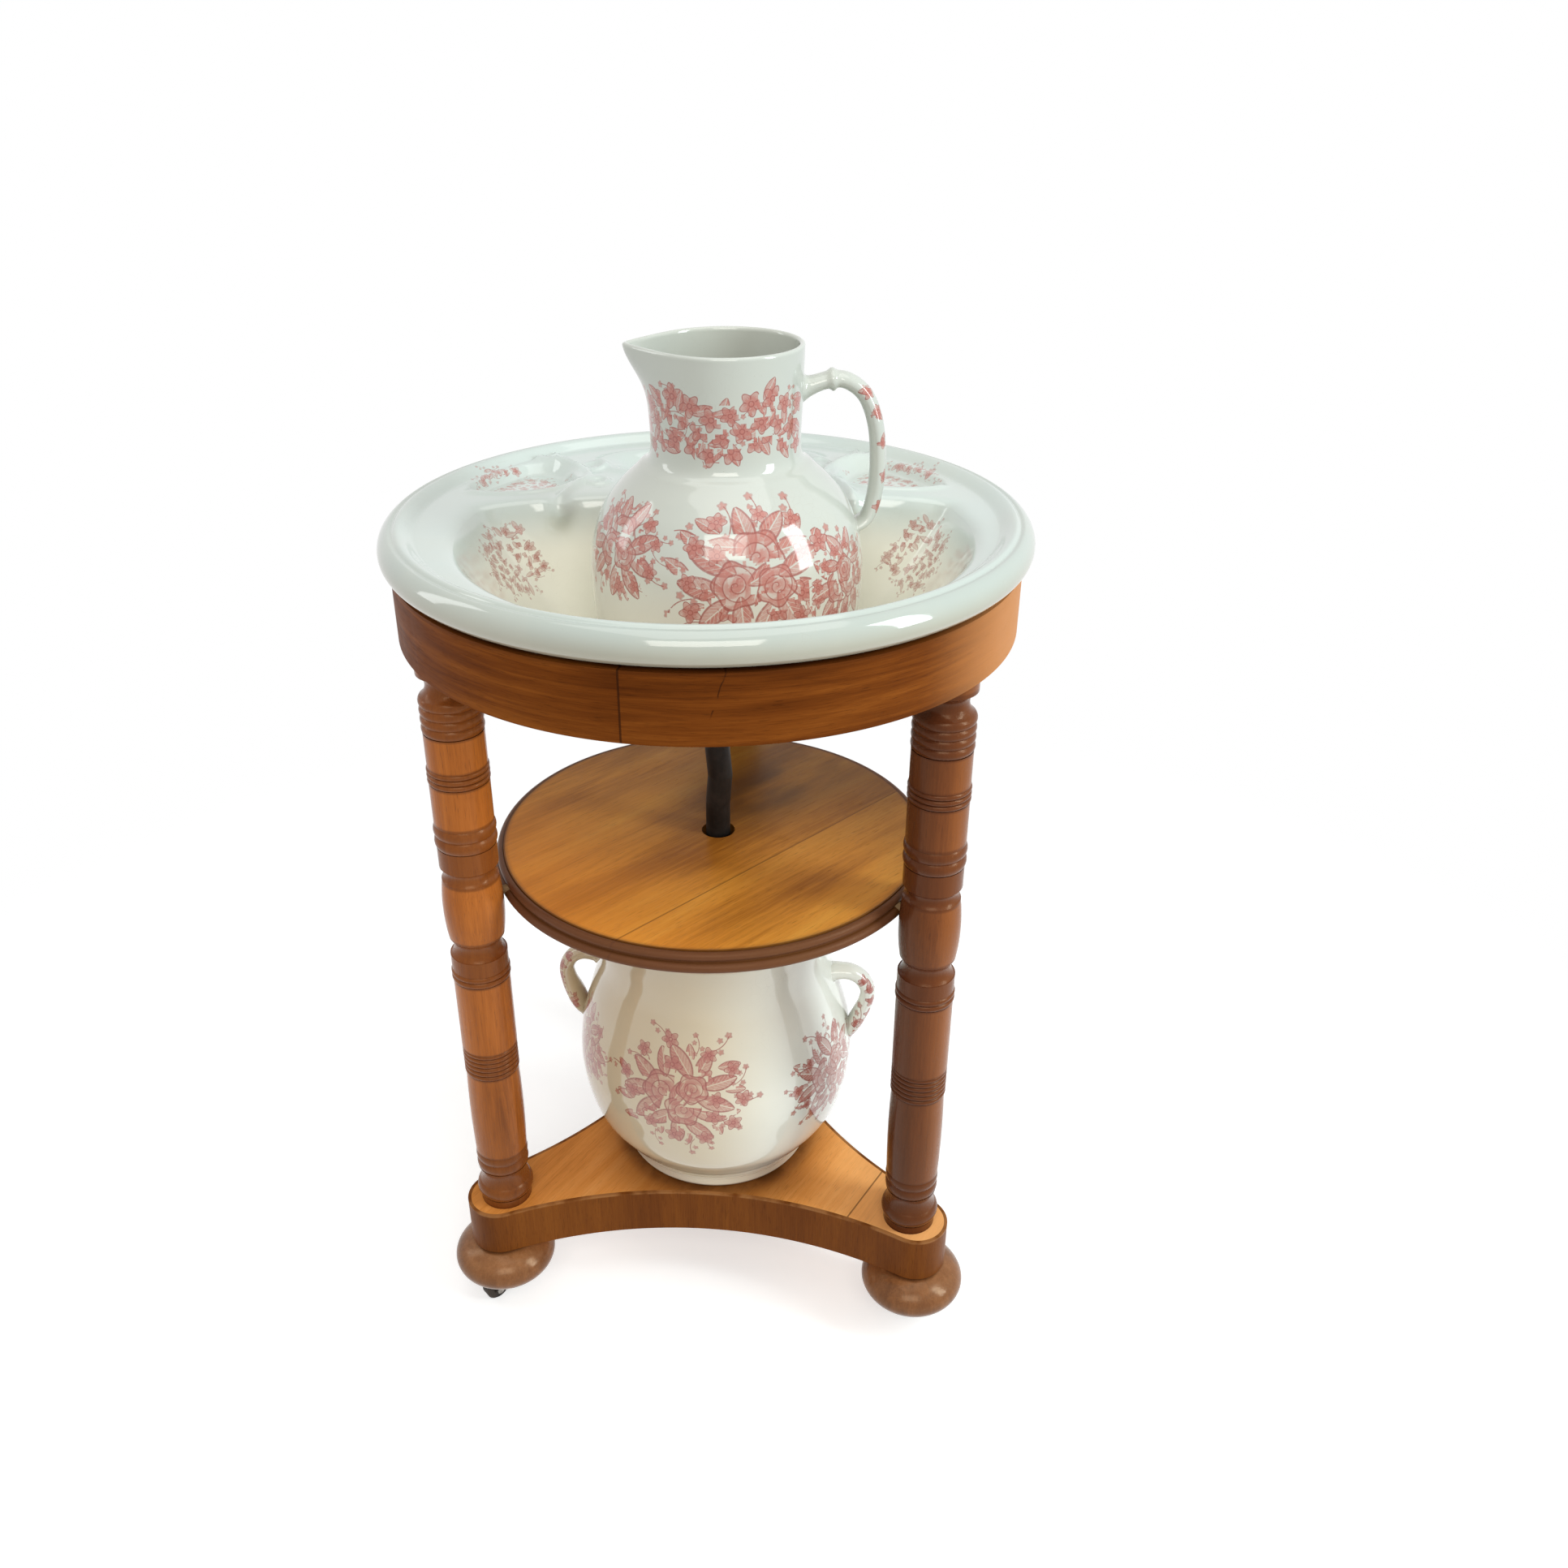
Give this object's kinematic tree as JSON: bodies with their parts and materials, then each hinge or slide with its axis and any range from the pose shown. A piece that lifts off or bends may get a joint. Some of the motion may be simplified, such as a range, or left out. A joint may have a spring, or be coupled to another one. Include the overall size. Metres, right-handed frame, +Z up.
{
  "type": "washstand",
  "caption": "Round turned-leg washstand with a drained ceramic basin, a drilled shelf, a lobed base on casters, a jug and a slop pail.",
  "frame": {"origin": "on the floor under the stand's axis, the middle of the three feet", "axes": "+Z up, -Y towards the front with the single rear leg at +Y, +X to the right seen from the front"},
  "size_m": [0.5398, 0.5587, 0.9462],
  "materials": {
    "apron_wood": "varnished",
    "board_wood": "varnished",
    "facing_wood": "varnished",
    "leg_wood": "varnished",
    "foot_wood": "varnished",
    "inner_wood": "bare",
    "glazed_ware": "glossy",
    "waste_brass": "worn",
    "washer_rubber": "matte",
    "pipe_metal": "satin",
    "caster_iron": "worn",
    "pin_steel": "worn"
  },
  "bodies": {
    "stand": {"apron_segment_1": "apron_wood", "apron_segment_2": "apron_wood", "apron_segment_3": "apron_wood", "apron_segment_4": "apron_wood", "shelf_board_main": "board_wood", "shelf_board_side": "board_wood", "base_board_main": "board_wood", "base_board_end": "board_wood", "base_facing_front_left": "facing_wood", "base_facing_front_right": "facing_wood", "base_facing_rear": "facing_wood", "leg_front_left": "leg_wood", "leg_front_right": "leg_wood", "leg_rear": "leg_wood", "bun_foot_front_left": "foot_wood", "bun_foot_front_right": "foot_wood", "bun_foot_rear": "foot_wood", "leg_block_front_left": "inner_wood", "leg_block_front_right": "inner_wood", "leg_block_rear": "inner_wood", "shelf_dowels": "inner_wood", "wash_basin": "glazed_ware", "basin_waste": "waste_brass", "waste_plug": "waste_brass", "waste_backnut": "waste_brass", "waste_union_nut": "waste_brass", "waste_washer": "washer_rubber", "drain_pipe": "pipe_metal", "caster_plate_front_left": "caster_iron", "caster_plate_front_right": "caster_iron", "caster_plate_rear": "caster_iron", "block_screws": "pin_steel", "caster_screws": "pin_steel"},
    "water_jug": {"water_jug": "glazed_ware"},
    "slop_pail": {"slop_pail": "glazed_ware"},
    "caster_front_left": {"caster_horn_front_left": "caster_iron", "caster_axle_front_left": "pin_steel"},
    "wheel_front_left": {"caster_wheel_front_left": "caster_iron"},
    "caster_front_right": {"caster_horn_front_right": "caster_iron", "caster_axle_front_right": "pin_steel"},
    "wheel_front_right": {"caster_wheel_front_right": "caster_iron"},
    "caster_rear": {"caster_horn_rear": "caster_iron", "caster_axle_rear": "pin_steel"},
    "wheel_rear": {"caster_wheel_rear": "caster_iron"}
  },
  "joints": [
    {"name": "caster_swivel_front_left", "type": "hinge", "parent": "stand", "child": "caster_front_left", "pos_m": [-0.20681, -0.1194, 0], "axis": [0, 0, 1], "continuous": true},
    {"name": "wheel_roll_front_left", "type": "hinge", "parent": "caster_front_left", "child": "wheel_front_left", "pos_m": [-0.21827, -0.13127, 0.0125], "axis": [0.7193, -0.6947, 0], "continuous": true},
    {"name": "caster_swivel_front_right", "type": "hinge", "parent": "stand", "child": "caster_front_right", "pos_m": [0.20681, -0.1194, 0], "axis": [0, 0, 1], "continuous": true},
    {"name": "wheel_roll_front_right", "type": "hinge", "parent": "caster_front_right", "child": "wheel_front_right", "pos_m": [0.20796, -0.10294, 0.0125], "axis": [-0.9976, 0.0698, 0], "continuous": true},
    {"name": "caster_swivel_rear", "type": "hinge", "parent": "stand", "child": "caster_rear", "pos_m": [0, 0.2388, 0], "axis": [0, 0, 1], "continuous": true},
    {"name": "wheel_roll_rear", "type": "hinge", "parent": "caster_rear", "child": "wheel_rear", "pos_m": [-0.01429, 0.24705, 0.0125], "axis": [-0.5, -0.866, 0], "continuous": true},
    {"name": "jug_lift", "type": "slide", "parent": "stand", "child": "water_jug", "axis": [0, 0, 1], "range_m": [0, 0.25]},
    {"name": "pail_slide", "type": "slide", "parent": "stand", "child": "slop_pail", "axis": [0, -1, 0], "range_m": [0, 0.42]}
  ]
}
